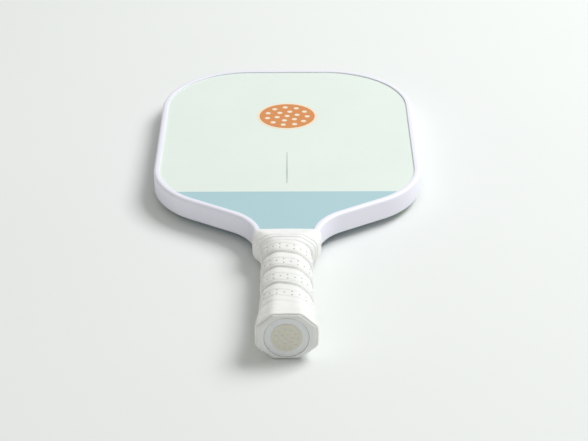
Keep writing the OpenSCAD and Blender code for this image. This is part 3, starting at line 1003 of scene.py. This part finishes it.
class PADDLE_OT_core(PaddleOperator, bpy.types.Operator):
    """Finish the honeycomb core, its fleeces, the fibreglass skins and the handle halves"""
    bl_idname = "paddle.core"
    bl_label = "Core and Skins"

    def execute(self, context):
        fleece, glass, wood = fleece_material(), fibreglass_material(), pallet_material()
        paint_node("honeycomb_core", core_material())
        for side in ("front", "back"):
            paint_node(side + "_fleece", fleece)
            paint_node(side + "_skin", glass)
            paint_node(side + "_pallet", wood)
        return {"FINISHED"}


class PADDLE_OT_prints(PaddleOperator, bpy.types.Operator):
    """Finish the printed layers of both faces, the roundel and the thin line"""
    bl_idname = "paddle.prints"
    bl_label = "Printed Faces"

    def execute(self, context):
        inks = context.scene.paddle_face
        for name, tone, *nodes in (
                ("Panel ink", inks.panel, "front_panel_print", "back_panel_print"),
                ("Field ink", inks.field, "front_field_print"),
                ("Back field ink", inks.back_field, "back_field_print"),
                ("Cream ink", inks.cream, "roundel_ground"),
                ("Orange ink", inks.orange, "roundel_ball"),
                ("Stripe ink", inks.stripe, "pinstripe")):
            ink = ink_material(name, tone)
            for node in nodes:
                paint_node(node, ink)
        return {"FINISHED"}


class PADDLE_OT_guard(PaddleOperator, bpy.types.Operator):
    """Build the moulded edge guard"""
    bl_idname = "paddle.guard"
    bl_label = "Edge Guard"

    def execute(self, context):
        settings = context.scene.paddle_guard
        plastic = moulded_material("Guard plastic", settings.plastic)
        build_edge_guard(settings, plastic)
        return {"FINISHED"}


class PADDLE_OT_cap(PaddleOperator, bpy.types.Operator):
    """Build the butt cap and its badge"""
    bl_idname = "paddle.cap"
    bl_label = "Butt Cap"

    def execute(self, context):
        settings = context.scene.paddle_cap
        rubber = moulded_material("Cap moulding", settings.moulding, grain=1500.0,
                                  gloss=(0.42, 0.55), depth=0.0001, coat=0.04)
        badge = moulded_material("Badge plastic", settings.badge, grain=2200.0,
                                 gloss=(0.24, 0.34), depth=0.00002, coat=0.3)
        build_cap(settings, rubber)
        build_badge(settings, badge)
        paint_node("badge_print", ink_material("Badge ink", settings.ink))
        return {"FINISHED"}


class PADDLE_OT_grip(PaddleOperator, bpy.types.Operator):
    """Build the spiral wrap of cushioned tape"""
    bl_idname = "paddle.grip"
    bl_label = "Grip Wrap"

    def execute(self, context):
        settings = context.scene.paddle_grip
        build_grip_wrap(settings, wrap_material(settings))
        return {"FINISHED"}


class PADDLE_OT_collar(PaddleOperator, bpy.types.Operator):
    """Build the collar of stretch tape at the throat"""
    bl_idname = "paddle.collar"
    bl_label = "Collar"

    def execute(self, context):
        settings = context.scene.paddle_collar
        build_collar_wrap(settings, stretch_tape_material(settings.tape))
        return {"FINISHED"}


def aim(thing, eye, target):
    """Places an object at eye, looking at target."""
    thing.location = eye
    thing.rotation_euler = (Vector(target) - Vector(eye)).to_track_quat("-Z", "Y").to_euler()


def add_light(name, eye, target, size, power, tone=(1, 1, 1)):
    """A square area light."""
    deselect_all()
    bpy.ops.object.light_add(type="AREA", location=eye)
    lamp = bpy.context.object
    lamp.name = name
    lamp.data.shape = "SQUARE"
    lamp.data.size = size
    lamp.data.energy = power
    lamp.data.color = tone
    aim(lamp, eye, target)
    return lamp


# The camera over the level paddle: where it stands, and its downward tilt, turn to the right
# and roll in degrees
CAMERA_EYE = Vector((4.299, -968.0, 620.84)) * MM
CAMERA_ANGLES = (28.9126, 0.0412, -0.148)
CAMERA_LENS = 109.28


def add_camera():
    """The camera, leaned together with the paddle."""
    pitch, yaw, roll = (math.radians(a) for a in CAMERA_ANGLES)
    ahead = Vector((math.sin(yaw) * math.cos(pitch), math.cos(yaw) * math.cos(pitch),
                    -math.sin(pitch)))
    right = Vector((math.cos(yaw), -math.sin(yaw), 0))
    up = right.cross(ahead)
    rolled_right = right * math.cos(roll) + up * math.sin(roll)
    rolled_up = up * math.cos(roll) - right * math.sin(roll)
    turn = Matrix((rolled_right, rolled_up, -ahead)).transposed()
    deselect_all()
    bpy.ops.object.camera_add()
    camera = bpy.context.object
    camera.name = "view_camera"
    camera.data.sensor_width = 36
    camera.data.lens = CAMERA_LENS
    camera.data.clip_start = 0.05
    camera.matrix_world = REST @ Matrix.Translation(CAMERA_EYE) @ turn.to_4x4()
    return camera


class PADDLE_OT_stage(PaddleOperator, bpy.types.Operator):
    """Build the floor, the soft lights and the camera"""
    bl_idname = "paddle.stage"
    bl_label = "Stage"

    def execute(self, context):
        settings = context.scene.paddle_stage
        deselect_all()
        bpy.ops.mesh.primitive_grid_add(x_subdivisions=8, y_subdivisions=8, size=24)
        floor = context.object
        floor.name = "stage_floor"
        floor.data.materials.append(floor_material(settings.floor))
        context.scene.view_settings.view_transform = "Standard"
        world = bpy.data.worlds.new("Studio")
        context.scene.world = world
        world.use_nodes = True
        sky = world.node_tree.nodes["Background"]
        sky.inputs["Color"].default_value = (1.0, 0.99, 0.96, 1)
        sky.inputs["Strength"].default_value = settings.world
        add_light("key_light", (1.6, 0.9, 2.2), (0, 0.05, 0), 1.6, settings.key, (0.97, 0.99, 1.0))
        add_light("front_fill", (-0.4, -2.2, 1.6), (0, 0, 0), 1.8, settings.key * 0.1)

        context.scene.camera = add_camera()
        return {"FINISHED"}


class PADDLE_PT_sidebar(bpy.types.Panel):
    """Lists the paddle's pieces and their settings."""
    bl_idname = "PADDLE_PT_sidebar"
    bl_label = "Pickleball Paddle"
    bl_space_type = "VIEW_3D"
    bl_region_type = "UI"
    bl_category = "Paddle"

    def draw(self, context):
        """Draws a button for each operator and the settings of each group."""
        for operator in OPERATORS:
            self.layout.operator(operator.bl_idname)
        for name, group in GROUPS.items():
            box = self.layout.box()
            box.label(text=group.__doc__)
            for field in group.__annotations__:
                box.prop(getattr(context.scene, name), field)


OPERATORS = (PADDLE_OT_core, PADDLE_OT_prints, PADDLE_OT_guard, PADDLE_OT_cap,
             PADDLE_OT_grip, PADDLE_OT_collar, PADDLE_OT_stage)
CLASSES = (*GROUPS.values(), *OPERATORS, PADDLE_PT_sidebar)


def register():
    """Registers the classes and hangs the settings on the scene."""
    for cls in CLASSES:
        bpy.utils.register_class(cls)
    for name, group in GROUPS.items():
        setattr(bpy.types.Scene, name, bpy.props.PointerProperty(type=group))


def unregister():
    """Undoes register."""
    for name in GROUPS:
        delattr(bpy.types.Scene, name)
    for cls in reversed(CLASSES):
        bpy.utils.unregister_class(cls)


def main():
    """Builds every piece in order."""
    register()
    bpy.ops.paddle.core()
    bpy.ops.paddle.prints()
    bpy.ops.paddle.guard()
    bpy.ops.paddle.cap()
    bpy.ops.paddle.grip()
    bpy.ops.paddle.collar()
    bpy.ops.paddle.stage()
    deselect_all()


if __name__ == "__main__":
    main()
